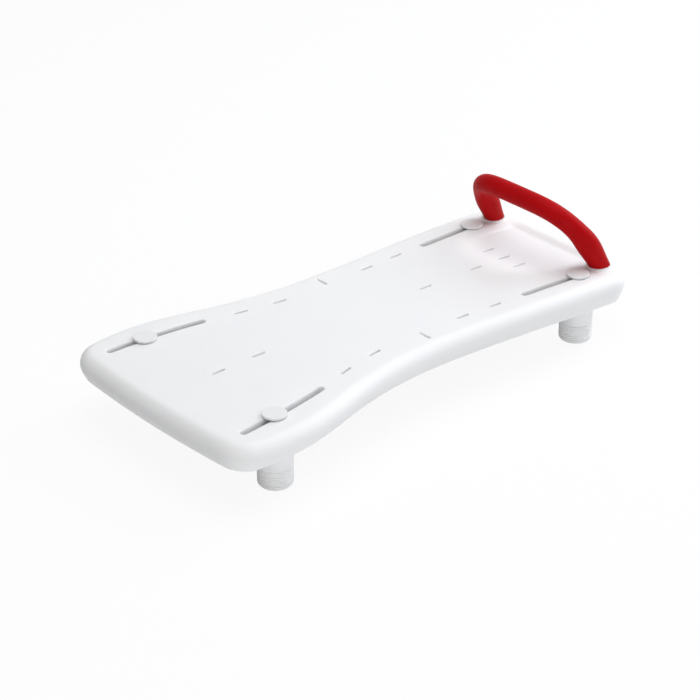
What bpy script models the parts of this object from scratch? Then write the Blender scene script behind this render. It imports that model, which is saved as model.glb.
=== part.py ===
"""Bath board with a grab handle and four legs that slide along slots and clamp. Metres, +Z up.

The board is one hollow blow-moulded body. The floor under the legs is Z = 0, X runs along the board
with the handle at +X, and the board is the same on both sides of the XZ plane.
"""

import math

import bmesh
import bpy
import numpy as np
from mathutils import Matrix

# Clearances
GAP = 0.0003
RUNNING_GAP = 0.0012

# Board outline, half widths at distances from the left end, the middle and the right end
BOARD_LENGTH = 0.690
LEFT_END_HALF_WIDTH = 0.1626
SHOULDER_FROM_END = 0.052
SHOULDER_HALF_WIDTH = 0.1690
SEAT_FROM_END = 0.121
SEAT_HALF_WIDTH = 0.1662
NECK_FROM_END = 0.207
NECK_HALF_WIDTH = 0.1441
WAIST_FROM_MIDDLE = -0.052
WAIST_HALF_WIDTH = 0.1286
RISE_FROM_MIDDLE = 0.1207
RISE_HALF_WIDTH = 0.1300
HIP_FROM_END = 0.069
HIP_HALF_WIDTH = 0.1368
RIGHT_END_HALF_WIDTH = 0.1374
LEFT_CORNER_RADIUS = 0.0315
RIGHT_CORNER_RADIUS = 0.0425
LEFT_END_BOW = 0.0075
RIGHT_END_BOW = 0.0073

# Board section
SEAT_HEIGHT = 0.0940
CROWN = 0.0061
MIDDLE_DEPTH = 0.0363
END_DEPTH_GAIN = 0.0011
DEPTH_LEAN = 0.0030
TOP_EDGE_RADIUS = 0.0155
BOTTOM_EDGE_RADIUS = 0.0050
WALL_DRAFT = 0.0051
WALL = 0.0035

# Shallow dish between the handle's feet
DISH_DEPTH = 0.004
DISH_START_FROM_END = 0.120
DISH_FLOOR_FROM_END = 0.0305
DISH_LIP_FROM_END = 0.0178
DISH_HALF_WIDTH = 0.0745
DISH_SIDE_RUN = 0.016

# Slots for the clamps, and the leg channels under them
SLOT_WIDTH = 0.0085
LEFT_SLOT_OUTER_INSET = 0.0370
LEFT_SLOT_INNER_INSET = 0.0402
RIGHT_SLOT_OUTER_INSET = 0.0374
RIGHT_SLOT_INNER_INSET = 0.0388
LEFT_SLOT_BOW = 0.0024
RIGHT_SLOT_BOW = 0.0
LEFT_SLOT_OUTER_FROM_END = 0.037
LEFT_SLOT_INNER_FROM_END = 0.173
RIGHT_SLOT_OUTER_FROM_END = 0.058
RIGHT_SLOT_INNER_FROM_END = 0.173
LEFT_LEG_FROM_END = 0.090
RIGHT_LEG_FROM_END = 0.077
LEFT_TRAVEL_OUT_FROM_END = 0.044
LEFT_TRAVEL_IN_FROM_END = 0.167
RIGHT_TRAVEL_OUT_FROM_END = 0.072
RIGHT_TRAVEL_IN_FROM_END = 0.168
WEB = 0.008

# Drain slots along the sides, beyond the clamp slots, and down the middle
DRAIN_LENGTH = 0.021
DRAIN_WIDTH = 0.005
LEFT_DRAIN_INSET = 0.0412
RIGHT_DRAIN_INSET = 0.0378
CROSS_DRAIN_INSET = 0.029
DRAIN_AFTER_SLOT = 0.046
LEFT_DRAIN_PITCH = 0.0545
RIGHT_DRAIN_PITCH = 0.0523
CROSS_DRAIN_FROM_MIDDLE = 0.0038
LEFT_CENTRE_DRAINS_FROM_END = (0.106, 0.167)
RIGHT_CENTRE_DRAINS_FROM_END = (0.1635, 0.2510)
HANDLE_DRAIN_FROM_END = 0.113
HANDLE_DRAIN_SPREAD = 0.029

# Conical ties from the underside up to the seat skin
TIE_PLACES = (-0.230, -0.120, -0.010, 0.100, 0.205)
TIE_SPREAD = 0.050
TIE_BASE_RADIUS = 0.015
TIE_TOP_RADIUS = 0.006

# Rails that rest on the bath's edges, and the weep holes
RAIL_HEIGHT = 0.047
RAIL_WIDTH = 0.030
RAIL_FROM_END = 0.023
LEFT_RAIL_LENGTH = 0.180
RIGHT_RAIL_LENGTH = 0.130
RAIL_EDGE = 0.0015
WEEP_RADIUS = 0.0025
WEEP_FROM_MIDDLE = 0.060

# Clamp: cap, bolt, washer and nut
CAP_RADIUS = 0.015
CAP_THICKNESS = 0.003
CAP_EDGE = 0.0009
CAP_RIDE = 0.0001
HEAD_RADIUS = 0.008
HEAD_THICKNESS = 0.0014
NECK_WIDTH = 0.0058
NECK_LENGTH = 0.008
BOLT_RADIUS = 0.0029
BOLT_BELOW_NUT = 0.006
WASHER_RADIUS = 0.0185
WASHER_THICKNESS = 0.0016
NUT_ACROSS_FLATS = 0.010
NUT_HEIGHT = 0.005

# Leg
POST_RADIUS = 0.0216
POST_EDGE = 0.0012
SPIGOT_RADIUS = 0.0182
POST_CORE_RADIUS = 0.0135
POST_CORE_DEPTH = 0.022
BOLT_BORE_DEPTH = 0.010
SLEEVE_HEIGHT = 0.026
SLEEVE_RADIUS = 0.0208
SLEEVE_RIB = 0.0006
SLEEVE_RIBS = 6
RIB_PITCH = 0.0028
SLEEVE_FLOOR = 0.003
SLEEVE_FOOT_RADIUS = 0.0155
SLEEVE_FOOT_RISE = 0.0062

# Handle and its fixings
HANDLE_FROM_END = 0.0365
HANDLE_HALF_SPAN = 0.0972
HANDLE_HEIGHT = 0.0800
HANDLE_LEAN = 0.50
HANDLE_CURL = 2.3
HANDLE_SQUARENESS = 4.0
HANDLE_SPLAY = 0.128
GRIP_RADIUS = 0.0130
SHOULDER_SWELL = 0.0023
SHOULDER_ALONG = 0.036
SHOULDER_SPREAD = 0.023
FOOT_PAD_RADIUS = 0.0153
FOOT_PAD_RISE = 0.0030
FOOT_PAD_SKIRT = 0.0040
PEG_RADIUS = 0.008
PEG_LENGTH = 0.022
PEG_ROOT = 0.005
SOCKET_FLOOR = 0.0055
INSERT_RADIUS = 0.0046
INSERT_LENGTH = 0.012
SCREW_RADIUS = 0.003
SCREW_HEAD_RADIUS = 0.0055
SCREW_HEAD_HEIGHT = 0.004
SCREW_WASHER_RADIUS = 0.0068
SCREW_WASHER_THICKNESS = 0.0012

# Facets
CORNER_STEPS = 4
SIDE_STEPS = 15
EDGE_STEPS = 3
WALL_STEPS = 3
ROUND_STEPS = 20
SMALL_ROUND_STEPS = 12
SLOT_BOW_STEPS = 8
HANDLE_STEPS = 30
HANDLE_SIDES = 14
SHARP_ANGLE = math.radians(35)
COLUMNS = (-1.0, -0.8, -0.6, -0.53, -0.27, 0.0, 0.27, 0.53, 0.6, 0.8, 1.0)

HALF_LENGTH = BOARD_LENGTH / 2
HANDLE_X = HALF_LENGTH - HANDLE_FROM_END
CHANNEL_RADIUS = POST_RADIUS + RUNNING_GAP
NUT_CORNER_RADIUS = NUT_ACROSS_FLATS / math.sqrt(3)
SIDES = {"front": -1, "back": 1}


def clear_scene():
    for obj in list(bpy.data.objects):
        bpy.data.objects.remove(obj, do_unlink=True)


def natural_spline(knots, values):
    """A function that runs smoothly through the values at the knots."""
    knots = np.array(knots)
    values = np.array(values)
    span = np.diff(knots)
    count = len(knots)
    system = np.eye(count)
    right = np.zeros(count)
    for i in range(1, count - 1):
        system[i, i - 1 : i + 2] = span[i - 1], 2 * (span[i - 1] + span[i]), span[i]
        right[i] = 6 * ((values[i + 1] - values[i]) / span[i] - (values[i] - values[i - 1]) / span[i - 1])
    bend = np.linalg.solve(system, right)

    def value(x):
        i = np.clip(np.searchsorted(knots, x) - 1, 0, count - 2)
        after = np.asarray(x) - knots[i]
        slope = (values[i + 1] - values[i]) / span[i] - span[i] * (2 * bend[i] + bend[i + 1]) / 6
        curve = bend[i] / 2 + after * (bend[i + 1] - bend[i]) / (6 * span[i])
        return values[i] + after * (slope + after * curve)

    return value


half_width = natural_spline(
    (
        -HALF_LENGTH,
        -HALF_LENGTH + SHOULDER_FROM_END,
        -HALF_LENGTH + SEAT_FROM_END,
        -HALF_LENGTH + NECK_FROM_END,
        WAIST_FROM_MIDDLE,
        RISE_FROM_MIDDLE,
        HALF_LENGTH - HIP_FROM_END,
        HALF_LENGTH,
    ),
    (
        LEFT_END_HALF_WIDTH,
        SHOULDER_HALF_WIDTH,
        SEAT_HALF_WIDTH,
        NECK_HALF_WIDTH,
        WAIST_HALF_WIDTH,
        RISE_HALF_WIDTH,
        HIP_HALF_WIDTH,
        RIGHT_END_HALF_WIDTH,
    ),
)


def seat_height(x):
    return SEAT_HEIGHT - CROWN * (x / HALF_LENGTH) ** 2


def underside_height(x):
    share = x / HALF_LENGTH
    return seat_height(x) - MIDDLE_DEPTH - DEPTH_LEAN * share - END_DEPTH_GAIN * abs(share) ** 3


def smooth_step(value):
    value = np.clip(value, 0, 1)
    return value * value * (3 - 2 * value)


def dish(x, y):
    """How far the seat sinks between the handle's feet."""
    start = HALF_LENGTH - DISH_START_FROM_END
    floor = HALF_LENGTH - DISH_FLOOR_FROM_END
    lip = HALF_LENGTH - DISH_LIP_FROM_END
    along = smooth_step((x - start) / (floor - start)) * (1 - smooth_step((x - floor) / (lip - floor)))
    across = smooth_step((DISH_HALF_WIDTH - np.abs(y)) / DISH_SIDE_RUN)
    return DISH_DEPTH * along * across


def outline(inset):
    """Points of the board's outline, moved in by the inset: front side, right end, back side, left end."""
    turn = np.radians(np.linspace(0, 90, CORNER_STEPS + 1))
    left_arc = -HALF_LENGTH + LEFT_CORNER_RADIUS * (1 - np.cos(turn))
    right_arc = HALF_LENGTH - RIGHT_CORNER_RADIUS * (1 - np.cos(turn))[::-1]
    between = np.linspace(left_arc[-1], right_arc[0], SIDE_STEPS + 1)[1:-1]
    x = np.concatenate([left_arc, between, right_arc])
    into_left = np.clip(LEFT_CORNER_RADIUS - (x + HALF_LENGTH), 0, LEFT_CORNER_RADIUS)
    into_right = np.clip(RIGHT_CORNER_RADIUS - (HALF_LENGTH - x), 0, RIGHT_CORNER_RADIUS)
    y = half_width(x)
    y = y - LEFT_CORNER_RADIUS + np.sqrt(LEFT_CORNER_RADIUS**2 - into_left**2)
    y = y - RIGHT_CORNER_RADIUS + np.sqrt(RIGHT_CORNER_RADIUS**2 - into_right**2)
    across = np.array(COLUMNS[1:-1])
    ring = np.concatenate(
        [
            np.stack([x, -y], 1),
            np.stack([np.full(len(across), x[-1]), across * y[-1]], 1),
            np.stack([x, y], 1)[::-1],
            np.stack([np.full(len(across), x[0]), -across * y[0]], 1),
        ]
    )
    share = ring[:, 0] / HALF_LENGTH
    left_pull = LEFT_END_BOW * np.clip(-share, 0, 1) ** 8 * (ring[:, 1] / LEFT_END_HALF_WIDTH) ** 2
    right_pull = RIGHT_END_BOW * np.clip(share, 0, 1) ** 8 * (ring[:, 1] / RIGHT_END_HALF_WIDTH) ** 2
    ring[:, 0] += left_pull - right_pull
    along = np.roll(ring, -1, 0) - np.roll(ring, 1, 0)
    outward = np.stack([along[:, 1], -along[:, 0]], 1)
    outward /= np.linalg.norm(outward, axis=1)[:, None]
    return ring - outward * inset


def patch(ring):
    """A grid of points that fills the ring, blended from its four sides."""
    rows = (len(ring) - 2 * (len(COLUMNS) - 2)) // 2
    columns = len(COLUMNS)
    front = ring[:rows]
    back = ring[rows + columns - 2 : 2 * rows + columns - 2][::-1]
    right = np.concatenate([front[-1:], ring[rows : rows + columns - 2], back[-1:]])
    left = np.concatenate([front[:1], ring[2 * rows + columns - 2 :][::-1], back[:1]])
    across = (np.array(COLUMNS)[:, None] + 1) / 2
    grid = []
    for row in range(rows):
        along = row / (rows - 1)
        line = front[row] + across * (back[row] - front[row])
        line = line + (1 - along) * (left - left[0] - across * (left[-1] - left[0]))
        line = line + along * (right - right[0] - across * (right[-1] - right[0]))
        grid.append(line)
    return np.array(grid)


def wall_profile(offset, steps):
    """Rings down the board's wall as (inset, share of the way from seat to underside, rise)."""
    rings = []
    for turn in np.radians(np.linspace(0, 90, steps + 1)):
        radius = TOP_EDGE_RADIUS - offset
        rings.append((TOP_EDGE_RADIUS - radius * math.sin(turn), 0.0, radius * math.cos(turn) - TOP_EDGE_RADIUS))
    for share in np.linspace(0, 1, WALL_STEPS + 1)[1:-1]:
        rise = share * BOTTOM_EDGE_RADIUS - (1 - share) * TOP_EDGE_RADIUS
        rings.append((offset + WALL_DRAFT * share**2, share, rise))
    for turn in np.radians(np.linspace(0, 90, steps + 1)):
        radius = BOTTOM_EDGE_RADIUS - offset
        inset = WALL_DRAFT + BOTTOM_EDGE_RADIUS - radius * math.cos(turn)
        rings.append((inset, 1.0, BOTTOM_EDGE_RADIUS - radius * math.sin(turn)))
    return rings


def add_object(name, mesh_data, cutter=False):
    mesh = bpy.data.meshes.new(name)
    work = bmesh.new()
    mesh_data(work)
    bmesh.ops.remove_doubles(work, verts=work.verts, dist=1e-6)
    bmesh.ops.recalc_face_normals(work, faces=work.faces)
    work.to_mesh(mesh)
    work.free()
    obj = bpy.data.objects.new(name, mesh)
    bpy.context.scene.collection.objects.link(obj)
    if cutter:
        obj.hide_render = True
        obj.display_type = "WIRE"
    return obj


def add_strip(work, first, second):
    """Quads between two closed rings with the same number of points."""
    first = [work.verts.new(point) for point in first]
    second = [work.verts.new(point) for point in second]
    for i in range(len(first)):
        j = (i + 1) % len(first)
        work.faces.new((first[i], first[j], second[j], second[i]))


def add_grid(work, grid):
    points = [[work.verts.new(point) for point in row] for row in grid]
    for row, following in zip(points, points[1:]):
        for j in range(len(row) - 1):
            work.faces.new((row[j], row[j + 1], following[j + 1], following[j]))


def board_form(offset, steps):
    """Maker of the board's closed form, moved in by the offset on every side."""

    def make(work):
        rings = []
        for inset, share, rise in wall_profile(offset, steps):
            ring = outline(inset)
            seat = seat_height(ring[:, 0])
            drop = share * (seat - underside_height(ring[:, 0]))
            rings.append(np.column_stack([ring, seat - drop + rise]))
        for first, second in zip(rings, rings[1:]):
            add_strip(work, first, second)
        seat = patch(outline(TOP_EDGE_RADIUS))
        sunk = seat_height(seat[..., 0]) - dish(seat[..., 0], seat[..., 1]) - offset
        add_grid(work, np.dstack([seat, sunk]))
        base = patch(outline(WALL_DRAFT + BOTTOM_EDGE_RADIUS))
        add_grid(work, np.dstack([base, underside_height(base[..., 0]) + offset]))

    return make


def add_prism(work, bottom, top):
    """A closed solid between two outlines with the same number of points."""
    bottom = [work.verts.new(point) for point in bottom]
    top = [work.verts.new(point) for point in top]
    count = len(bottom)
    for i in range(count):
        j = (i + 1) % count
        work.faces.new((bottom[i], bottom[j], top[j], top[i]))
    work.faces.new(bottom[::-1])
    work.faces.new(top)


def obround(start, end, radius, steps, bow=0.0, bow_steps=1):
    """Outline of a slot with round ends. Its middle line runs from start to end and may bow to the left."""
    start = np.array(start)
    end = np.array(end)
    share = np.linspace(0, 1, bow_steps + 1)[:, None]
    along = (end - start) / np.linalg.norm(end - start)
    left = np.array([-along[1], along[0]])
    line = start + share * (end - start) + 4 * bow * share * (1 - share) * left
    heading = math.atan2(along[1], along[0])
    points = []
    for centre, first, edge in ((end, heading - math.pi / 2, line[::-1]), (start, heading + math.pi / 2, line)):
        for turn in np.linspace(0, math.pi, steps + 1):
            angle = first + turn
            points.append(centre + radius * np.array([math.cos(angle), math.sin(angle)]))
        outward = np.array([math.cos(first + math.pi), math.sin(first + math.pi)])
        points.extend(edge[1:-1] + radius * outward)
    return np.array(points)


def prism(outline_points, bottom, top):
    """Maker of a closed upright solid with level ends."""
    return lambda work: add_prism(work, level(outline_points, bottom), level(outline_points, top))


def circle(centre, radius, steps):
    angles = np.arange(steps) * 2 * math.pi / steps
    return np.array(centre) + radius * np.stack([np.cos(angles), np.sin(angles)], 1)


def level(points, height):
    return np.column_stack([points, np.full(len(points), height)])


def add_turned(work, profile, centre, steps, closed=False):
    """A solid turned about the vertical through centre. An open profile starts and ends on the axis."""
    angles = np.arange(steps) * 2 * math.pi / steps
    rings = []
    for radius, height in profile:
        if radius == 0:
            rings.append([work.verts.new((centre[0], centre[1], height))])
            continue
        ring = []
        for angle in angles:
            x = centre[0] + radius * math.cos(angle)
            y = centre[1] + radius * math.sin(angle)
            ring.append(work.verts.new((x, y, height)))
        rings.append(ring)
    pairs = list(zip(rings, rings[1:]))
    if closed:
        pairs.append((rings[-1], rings[0]))
    for first, second in pairs:
        for i in range(steps):
            j = (i + 1) % steps
            corners = [first[i % len(first)], first[j % len(first)]]
            corners += [second[j % len(second)], second[i % len(second)]]
            work.faces.new(list(dict.fromkeys(corners)))


def add_boolean(obj, tool, operation):
    modifier = obj.modifiers.new(tool.name, "BOOLEAN")
    modifier.operation = operation
    modifier.solver = "EXACT"
    modifier.object = tool


def material(name, colour, roughness, metallic=0.0):
    found = bpy.data.materials.get(name)
    if found:
        return found
    made = bpy.data.materials.new(name)
    made.use_nodes = True
    shader = made.node_tree.nodes["Principled BSDF"]
    shader.inputs["Base Color"].default_value = (*colour, 1.0)
    shader.inputs["Roughness"].default_value = roughness
    shader.inputs["Metallic"].default_value = metallic
    return made


def white_plastic():
    return material("white_plastic", (0.84, 0.85, 0.86), 0.42)


def cap_plastic():
    return material("cap_plastic", (0.78, 0.79, 0.80), 0.4)


def red_plastic():
    return material("red_plastic", (0.42, 0.012, 0.016), 0.35)


def foot_rubber():
    return material("foot_rubber", (0.72, 0.72, 0.73), 0.7)


def steel():
    return material("steel", (0.62, 0.63, 0.64), 0.32, 1.0)


def zinc():
    return material("zinc", (0.66, 0.67, 0.68), 0.38, 1.0)


def brass():
    return material("brass", (0.72, 0.55, 0.28), 0.35, 1.0)


def finish(obj, look, origin=(0.0, 0.0, 0.0)):
    """Applies the Booleans, so that the shading follows the finished shape, and sets the object's origin."""
    bpy.context.view_layer.update()
    graph = bpy.context.evaluated_depsgraph_get()
    obj.data = bpy.data.meshes.new_from_object(obj.evaluated_get(graph))
    obj.modifiers.clear()
    obj.data.materials.clear()
    obj.data.materials.append(look)
    obj.data.shade_smooth()
    obj.data.set_sharp_from_angle(angle=SHARP_ANGLE)
    for tool in [other for other in bpy.data.objects if other.hide_render]:
        bpy.data.objects.remove(tool, do_unlink=True)
    obj.data.transform(Matrix.Translation(origin).inverted())
    obj.location = origin


class Leg:
    """Where one leg stands, how its slot runs and how far it travels."""

    def __init__(self, end, side):
        self.name = f"{end}_{side}"
        self.sign = SIDES[side]
        if end == "left":
            insets = (LEFT_SLOT_OUTER_INSET, LEFT_SLOT_INNER_INSET)
            places = (
                LEFT_SLOT_OUTER_FROM_END,
                LEFT_SLOT_INNER_FROM_END,
                LEFT_LEG_FROM_END,
                LEFT_TRAVEL_OUT_FROM_END,
                LEFT_TRAVEL_IN_FROM_END,
            )
            places = [place - HALF_LENGTH for place in places]
        else:
            insets = (RIGHT_SLOT_OUTER_INSET, RIGHT_SLOT_INNER_INSET)
            places = (
                RIGHT_SLOT_OUTER_FROM_END,
                RIGHT_SLOT_INNER_FROM_END,
                RIGHT_LEG_FROM_END,
                RIGHT_TRAVEL_OUT_FROM_END,
                RIGHT_TRAVEL_IN_FROM_END,
            )
            places = [HALF_LENGTH - place for place in places]
        outer_x, inner_x, rest_x, travel_out_x, travel_in_x = places
        self.bow = LEFT_SLOT_BOW if end == "left" else RIGHT_SLOT_BOW
        self.outer = self.on_seat(outer_x, insets[0])
        self.inner = self.on_seat(inner_x, insets[1])
        self.run = (self.outer - self.inner) / (self.outer[0] - self.inner[0])
        self.slope = abs(self.run[2])
        self.rest = self.on_slot(rest_x)
        self.place = self.rest[:2]
        self.travel_out = self.on_slot(travel_out_x)
        self.travel_in = self.on_slot(travel_in_x)
        self.ceiling = self.rest[2] - WEB
        self.cap_bottom = seat_height(rest_x) + GAP + CAP_RIDE + self.slope * CAP_RADIUS
        self.washer_top = self.ceiling - GAP - self.slope * WASHER_RADIUS
        self.post_top = self.washer_top - WASHER_THICKNESS - GAP
        self.nut_top = self.post_top - GAP
        self.nut_bottom = self.nut_top - NUT_HEIGHT
        self.axis = (*self.place, self.post_top)

    def on_seat(self, x, inset):
        return np.array([x, self.sign * (half_width(x) - inset), seat_height(x)])

    def on_slot(self, x):
        return self.inner + (x - self.inner[0]) * self.run

    def channel(self, radius, low, web):
        """Bottom and top outlines of the space that the leg sweeps, widened to the radius."""
        ends = sorted((self.travel_in[:2], self.travel_out[:2]), key=lambda point: point[0])
        plan = obround(*ends, radius, SMALL_ROUND_STEPS // 2)
        roof = [self.on_slot(x)[2] - web for x, _ in plan]
        return level(plan, low), np.column_stack([plan, roof])


LEGS = [Leg(end, side) for end in ("left", "right") for side in SIDES]
BELOW = min(underside_height(-HALF_LENGTH), underside_height(HALF_LENGTH), RAIL_HEIGHT) - WALL
ABOVE = SEAT_HEIGHT + WALL


def drains():
    """Centre and heading of each drain slot."""
    found = [((place - HALF_LENGTH, 0.0), 0.0) for place in LEFT_CENTRE_DRAINS_FROM_END]
    found += [((HALF_LENGTH - place, 0.0), 0.0) for place in RIGHT_CENTRE_DRAINS_FROM_END]
    near_handle = HALF_LENGTH - HANDLE_DRAIN_FROM_END
    found += [((near_handle, y), 0.0) for y in (-HANDLE_DRAIN_SPREAD, 0.0, HANDLE_DRAIN_SPREAD)]
    left = LEFT_SLOT_INNER_FROM_END + DRAIN_AFTER_SLOT - HALF_LENGTH
    right = HALF_LENGTH - RIGHT_SLOT_INNER_FROM_END - DRAIN_AFTER_SLOT
    cross_y = half_width(CROSS_DRAIN_FROM_MIDDLE) - CROSS_DRAIN_INSET
    rows = [(x, LEFT_DRAIN_INSET) for x in (left, left + LEFT_DRAIN_PITCH)]
    rows += [(x, RIGHT_DRAIN_INSET) for x in (right - RIGHT_DRAIN_PITCH, right)]
    for sign in SIDES.values():
        for x, inset in rows:
            rise = half_width(x + DRAIN_LENGTH / 2) - half_width(x - DRAIN_LENGTH / 2)
            heading = math.atan2(sign * rise, DRAIN_LENGTH)
            found.append(((x, sign * (half_width(x) - inset)), heading))
        found.append(((CROSS_DRAIN_FROM_MIDDLE, sign * cross_y), math.pi / 2))
    return found


def add_drains(work, radius):
    reach = DRAIN_LENGTH / 2 - DRAIN_WIDTH / 2
    for centre, heading in drains():
        step = reach * np.array([math.cos(heading), math.sin(heading)])
        plan = obround(centre - step, centre + step, radius, 4)
        add_prism(work, level(plan, BELOW), level(plan, ABOVE))


def add_ties(work, wall):
    """Cones that stand on the underside. The wall thickens them for the walls left inside the board."""
    for x in TIE_PLACES:
        for sign in SIDES.values():
            low = circle((x, sign * TIE_SPREAD), TIE_BASE_RADIUS + wall, SMALL_ROUND_STEPS)
            high = circle((x, sign * TIE_SPREAD), TIE_TOP_RADIUS + wall, SMALL_ROUND_STEPS)
            add_prism(work, level(low, BELOW), level(high, seat_height(x) - WALL + wall))


def socket_heights():
    """Pad top, socket floor and the floor's underside where a foot of the handle stands."""
    pad = seat_height(HANDLE_X) + FOOT_PAD_RISE
    floor = pad - PEG_LENGTH - GAP
    return pad, floor, floor - SOCKET_FLOOR


def add_columns(work, radius, low, high):
    for sign in SIDES.values():
        ring = circle((HANDLE_X, sign * HANDLE_HALF_SPAN), radius, ROUND_STEPS)
        add_prism(work, level(ring, low), level(ring, high))


def add_foot_pads(work):
    """Low collars that the handle's feet stand on, with a hollow slope round them."""
    pad, _, _ = socket_heights()
    for sign in SIDES.values():
        rings = []
        for share in (0, 0.3, 0.65, 0.95, 1.3):
            radius = FOOT_PAD_RADIUS + share**1.5 * FOOT_PAD_SKIRT
            ring = circle((HANDLE_X, sign * HANDLE_HALF_SPAN), radius, ROUND_STEPS)
            rings.append(level(ring, pad - share * FOOT_PAD_RISE))
        rings.append(level(ring, pad - FOOT_PAD_RISE - WALL))
        for first, second in zip(rings, rings[1:]):
            add_strip(work, first, second)
        for end in (0, -1):
            work.faces.new([work.verts.new(point) for point in rings[end]])


def add_rails(work):
    for sign, length in ((-1, LEFT_RAIL_LENGTH), (1, RIGHT_RAIL_LENGTH)):
        middle = sign * (HALF_LENGTH - RAIL_FROM_END - RAIL_WIDTH / 2)
        corners = []
        for edge in (0.0, RAIL_EDGE):
            x = RAIL_WIDTH / 2 - edge
            y = length / 2 - edge
            corners.append(np.array([(middle - x, -y), (middle + x, -y), (middle + x, y), (middle - x, y)]))
        roof = underside_height(middle) + WALL
        shoulder = RAIL_HEIGHT + RAIL_EDGE
        add_strip(work, level(corners[1], RAIL_HEIGHT), level(corners[0], shoulder))
        add_strip(work, level(corners[0], shoulder), level(corners[0], roof))
        for points, height in ((corners[1], RAIL_HEIGHT), (corners[0], roof)):
            work.faces.new([work.verts.new(point) for point in level(points, height)])


def make_board():
    cavity = add_object("board_cavity", board_form(WALL, EDGE_STEPS - 1), cutter=True)
    _, floor, floor_under = socket_heights()

    def channel_walls(work):
        for leg in LEGS:
            add_prism(work, *leg.channel(CHANNEL_RADIUS + WALL, BELOW, -WEB))

    def socket_walls(work):
        add_columns(work, PEG_RADIUS + GAP + WALL, BELOW, ABOVE)

    walls = {
        "channel_walls": channel_walls,
        "socket_walls": socket_walls,
        "drain_walls": lambda work: add_drains(work, DRAIN_WIDTH / 2 + WALL),
        "tie_walls": lambda work: add_ties(work, WALL),
    }
    for name, maker in walls.items():
        add_boolean(cavity, add_object(name, maker, cutter=True), "DIFFERENCE")

    board = add_object("board", board_form(0.0, EDGE_STEPS))
    add_boolean(board, add_object("foot_pads", add_foot_pads, cutter=True), "UNION")
    add_boolean(board, add_object("rim_rails", add_rails, cutter=True), "UNION")
    add_boolean(board, cavity, "DIFFERENCE")

    def channels(work):
        for leg in LEGS:
            add_prism(work, *leg.channel(CHANNEL_RADIUS, BELOW, WEB))

    def clamp_slots(work):
        for leg in LEGS:
            first, last = sorted((leg.inner[:2], leg.outer[:2]), key=lambda point: point[0])
            heading = (last - first) / np.linalg.norm(last - first)
            inset = heading * SLOT_WIDTH / 2
            bow = leg.sign * leg.bow
            shift = np.array([-heading[1], heading[0]]) * bow / 2
            steps = SLOT_BOW_STEPS if bow else 1
            plan = obround(first + inset - shift, last - inset - shift, SLOT_WIDTH / 2, 6, bow, steps)
            add_prism(work, level(plan, leg.ceiling - 2 * WEB), level(plan, ABOVE))

    def weeps(work):
        for sign in SIDES.values():
            ring = circle((sign * WEEP_FROM_MIDDLE, 0.0), WEEP_RADIUS, 8)
            top = underside_height(sign * WEEP_FROM_MIDDLE) + 2 * WALL
            add_prism(work, level(ring, BELOW), level(ring, top))

    cuts = {
        "leg_channels": channels,
        "clamp_slots": clamp_slots,
        "drain_slots": lambda work: add_drains(work, DRAIN_WIDTH / 2),
        "tie_hollows": lambda work: add_ties(work, 0.0),
        "weep_holes": weeps,
        "peg_sockets": lambda work: add_columns(work, PEG_RADIUS + GAP, floor, ABOVE),
        "screw_holes": lambda work: add_columns(work, SCREW_RADIUS + GAP, BELOW, floor + WALL),
        "counterbores": lambda work: add_columns(work, SCREW_WASHER_RADIUS + GAP, BELOW, floor_under),
    }
    for name, maker in cuts.items():
        add_boolean(board, add_object(name, maker, cutter=True), "DIFFERENCE")
    finish(board, white_plastic())


def make_cap(leg):
    low = leg.cap_bottom
    high = low + CAP_THICKNESS
    pocket = low + HEAD_THICKNESS + GAP
    profile = [
        (0, high),
        (CAP_RADIUS - CAP_EDGE, high),
        (CAP_RADIUS, high - CAP_EDGE),
        (CAP_RADIUS, low),
        (HEAD_RADIUS + GAP, low),
        (HEAD_RADIUS + GAP, pocket),
        (0, pocket),
    ]
    steps = 2 * SMALL_ROUND_STEPS
    cap = add_object(f"cap_{leg.name}", lambda work: add_turned(work, profile, leg.place, steps))
    finish(cap, cap_plastic(), leg.axis)


def make_bolt(leg):
    """Flat head over the slot, flat-sided neck in it and a round shank down to the nut."""
    head_bottom = leg.cap_bottom
    head_top = head_bottom + HEAD_THICKNESS
    head_middle = (head_bottom + head_top) / 2
    neck_bottom = leg.ceiling + GAP
    shank_bottom = leg.nut_bottom - BOLT_BELOW_NUT
    half_run = leg.run[:2] / np.linalg.norm(leg.run[:2]) * (NECK_LENGTH - NECK_WIDTH) / 2
    neck = obround(leg.place - half_run, leg.place + half_run, NECK_WIDTH / 2, SMALL_ROUND_STEPS // 2)
    head = circle(leg.place, HEAD_RADIUS, ROUND_STEPS)
    shank = circle(leg.place, BOLT_RADIUS, SMALL_ROUND_STEPS)
    bolt = add_object(f"bolt_{leg.name}", prism(head, head_bottom, head_top))
    parts = {
        "bolt_neck": prism(neck, neck_bottom, head_middle),
        "bolt_shank": prism(shank, shank_bottom, neck_bottom + GAP),
    }
    for name, maker in parts.items():
        add_boolean(bolt, add_object(name, maker, cutter=True), "UNION")
    finish(bolt, steel(), leg.axis)


def make_ring(name, place, inner, outer, bottom, top, look):
    """A flat washer or a threaded insert, with its origin on its axis."""
    profile = [(inner, top), (outer, top), (outer, bottom), (inner, bottom)]
    steps = ROUND_STEPS if outer > POST_CORE_RADIUS else SMALL_ROUND_STEPS
    ring = add_object(name, lambda work: add_turned(work, profile, place, steps, closed=True))
    finish(ring, look, (*place, bottom))


def make_clamp(leg):
    make_cap(leg)
    make_bolt(leg)
    top = leg.washer_top
    bottom = top - WASHER_THICKNESS
    make_ring(f"washer_{leg.name}", leg.place, BOLT_RADIUS + GAP, WASHER_RADIUS, bottom, top, zinc())


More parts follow.
